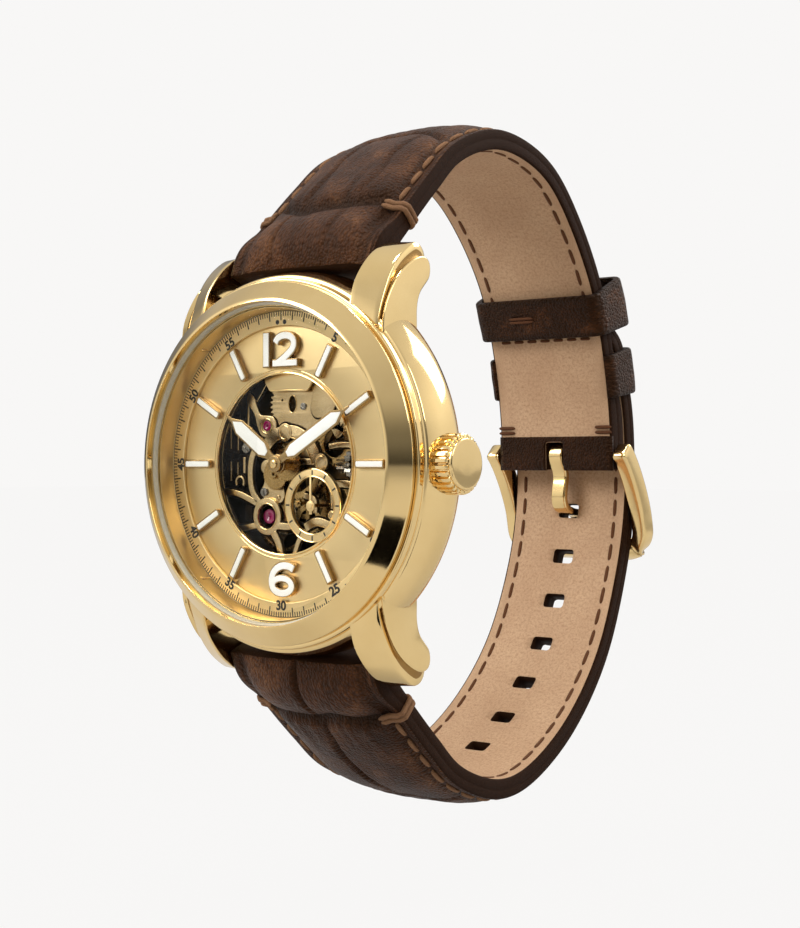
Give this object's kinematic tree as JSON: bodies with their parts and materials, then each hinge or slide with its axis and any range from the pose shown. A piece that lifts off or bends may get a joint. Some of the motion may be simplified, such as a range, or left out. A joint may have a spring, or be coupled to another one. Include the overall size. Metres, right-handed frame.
{
  "type": "skeleton wristwatch",
  "caption": "Round gold-tone mechanical wristwatch with an open dial over its movement, a side crown and a padded leather strap closed by a pin buckle.",
  "frame": {"origin": "centre of the flat outer face of the case back, on the axis of the hands", "axes": "+Z to 12 o'clock, +X to the crown at 3 o'clock, +Y out of the case back towards the wrist, so the dial faces -Y"},
  "size_m": [0.0462, 0.0697, 0.0827],
  "materials": {
    "polished_gold": "polished gold-tone plating over steel",
    "brushed_gold": "fine brushed gold-tone plating",
    "dial_gold": "sunray brushed gold-tone dial",
    "gear_brass": "turned brass",
    "steel": "fine ground steel",
    "black_plastic": "matt moulded plastic",
    "white_lume": "white luminous fill in a gold-tone border",
    "ruby": "polished synthetic ruby",
    "leather": "embossed brown leather, tan lining",
    "crystal": "clear mineral glass"
  },
  "bodies": {
    "case": {"balance_cock": "brushed_gold", "barrel_bridge": "brushed_gold", "bezel": "polished_gold", "buckle_bar": "steel", "case_back_crystal": "crystal", "case_back_ring": "polished_gold", "case_middle": "polished_gold", "chapter_ring": "dial_gold", "crown_tube": "steel", "crystal": "crystal", "crystal_gasket": "black_plastic", "dial": "dial_gold", "dial_side_bridge": "brushed_gold", "fixed_keeper": "leather", "hour_marker_01": "white_lume", "hour_marker_02": "white_lume", "hour_marker_03": "white_lume", "hour_marker_04": "white_lume", "hour_marker_05": "white_lume", "hour_marker_07": "white_lume", "hour_marker_08": "white_lume", "hour_marker_09": "white_lume", "hour_marker_10": "white_lume", "hour_marker_11": "white_lume", "jewel_balance": "ruby", "jewel_upper": "ruby", "main_plate": "brushed_gold", "movement_ring": "black_plastic", "numeral_six": "white_lume", "numeral_twelve": "white_lume", "spring_bar_lower": "steel", "spring_bar_upper": "steel", "strap_buckle_half": "leather", "strap_long_half": "leather", "train_bridge": "brushed_gold"},
    "minute_hand": {"minute_hand": "white_lume", "cannon_pinion": "steel", "centre_wheel": "gear_brass"},
    "hour_hand": {"hour_hand": "white_lume", "hour_wheel": "gear_brass"},
    "minute_wheel": {"minute_wheel": "gear_brass"},
    "third_wheel": {"third_wheel": "gear_brass"},
    "seconds_hand": {"seconds_hand": "polished_gold", "fourth_wheel": "gear_brass"},
    "escape_wheel": {"escape_wheel": "steel"},
    "mainspring_barrel": {"mainspring_barrel": "gear_brass", "mainspring": "steel"},
    "balance": {"balance_wheel": "gear_brass", "hairspring": "steel"},
    "pallet_fork": {"pallet_fork": "steel"},
    "winding_pinion": {"winding_pinion": "steel"},
    "crown": {"crown": "polished_gold", "winding_stem": "steel"},
    "clutch": {"clutch_wheel": "steel"},
    "crown_wheel": {"crown_wheel": "steel"},
    "ratchet_wheel": {"ratchet_wheel": "steel"},
    "rotor": {"rotor": "brushed_gold"},
    "buckle_frame": {"buckle_frame": "polished_gold"},
    "buckle_tongue": {"buckle_tongue": "polished_gold"},
    "floating_keeper": {"floating_keeper": "leather"}
  },
  "joints": [
    {"name": "minute_turn", "type": "hinge", "parent": "case", "child": "minute_hand", "pos_m": [0, -0.005, 0], "axis": [0, 1, 0], "continuous": true},
    {"name": "hour_turn", "type": "hinge", "parent": "case", "child": "hour_hand", "pos_m": [0, -0.005, 0], "axis": [0, 1, 0], "continuous": true},
    {"name": "minute_wheel_turn", "type": "hinge", "parent": "case", "child": "minute_wheel", "pos_m": [-0.0021, -0.005, -0.00116], "axis": [0, 1, 0], "continuous": true},
    {"name": "third_turn", "type": "hinge", "parent": "case", "child": "third_wheel", "pos_m": [0.00029, -0.005, -0.00449], "axis": [0, 1, 0], "continuous": true},
    {"name": "seconds_turn", "type": "hinge", "parent": "case", "child": "seconds_hand", "pos_m": [0.00453, -0.005, -0.00465], "axis": [0, 1, 0], "continuous": true},
    {"name": "escape_turn", "type": "hinge", "parent": "case", "child": "escape_wheel", "pos_m": [0.00344, -0.005, -0.00764], "axis": [0, 1, 0], "continuous": true},
    {"name": "barrel_turn", "type": "hinge", "parent": "case", "child": "mainspring_barrel", "pos_m": [0.00115, -0.005, 0.00555], "axis": [0, 1, 0], "continuous": true},
    {"name": "balance_swing", "type": "hinge", "parent": "case", "child": "balance", "pos_m": [-0.0043, -0.005, -0.0061], "axis": [0, 1, 0], "range_deg": [-270, 270]},
    {"name": "pallet_swing", "type": "hinge", "parent": "case", "child": "pallet_fork", "pos_m": [0.00075, -0.005, -0.00725], "axis": [0, 1, 0], "range_deg": [-5, 5]},
    {"name": "crown_turn", "type": "hinge", "parent": "case", "child": "winding_pinion", "pos_m": [0.009, -0.0059, 0], "axis": [1, 0, 0], "continuous": true},
    {"name": "crown_pull", "type": "slide", "parent": "winding_pinion", "child": "crown", "axis": [1, 0, 0], "range_m": [0, 0.001]},
    {"name": "clutch_shift", "type": "slide", "parent": "winding_pinion", "child": "clutch", "axis": [1, 0, 0], "range_m": [-0.0006, 0]},
    {"name": "crown_wheel_turn", "type": "hinge", "parent": "case", "child": "crown_wheel", "pos_m": [0.0059, -0.005, 0], "axis": [0, 1, 0], "continuous": true},
    {"name": "ratchet_turn", "type": "hinge", "parent": "case", "child": "ratchet_wheel", "pos_m": [0.00115, -0.005, 0.00555], "axis": [0, 1, 0], "continuous": true},
    {"name": "rotor_turn", "type": "hinge", "parent": "case", "child": "rotor", "pos_m": [0, -0.005, 0], "axis": [0, 1, 0], "continuous": true},
    {"name": "buckle_swing", "type": "hinge", "parent": "case", "child": "buckle_frame", "pos_m": [0, 0.0491, 0.0011], "axis": [1, 0, 0], "range_deg": [0, 8]},
    {"name": "tongue_swing", "type": "hinge", "parent": "case", "child": "buckle_tongue", "pos_m": [0, 0.0491, 0.0011], "axis": [1, 0, 0], "range_deg": [0, 8]},
    {"name": "keeper_slide", "type": "slide", "parent": "case", "child": "floating_keeper", "axis": [0, -0.42, 0.9075], "range_m": [-0.0015, 0.0015]}
  ],
  "couplings": [
    {"joint": "hour_turn", "follows": "minute_turn", "ratio": 0.083333},
    {"joint": "minute_wheel_turn", "follows": "minute_turn", "ratio": -0.33333},
    {"joint": "third_turn", "follows": "minute_turn", "ratio": -8},
    {"joint": "seconds_turn", "follows": "minute_turn", "ratio": 60},
    {"joint": "escape_turn", "follows": "minute_turn", "ratio": -720},
    {"joint": "barrel_turn", "follows": "minute_turn", "ratio": -0.16667},
    {"joint": "pallet_swing", "follows": "balance_swing", "ratio": 0.018519},
    {"joint": "clutch_shift", "follows": "crown_pull", "ratio": -0.6},
    {"joint": "crown_wheel_turn", "follows": "crown_turn", "ratio": -0.6},
    {"joint": "ratchet_turn", "follows": "crown_turn", "ratio": 0.3913},
    {"joint": "tongue_swing", "follows": "buckle_swing", "ratio": 1}
  ]
}
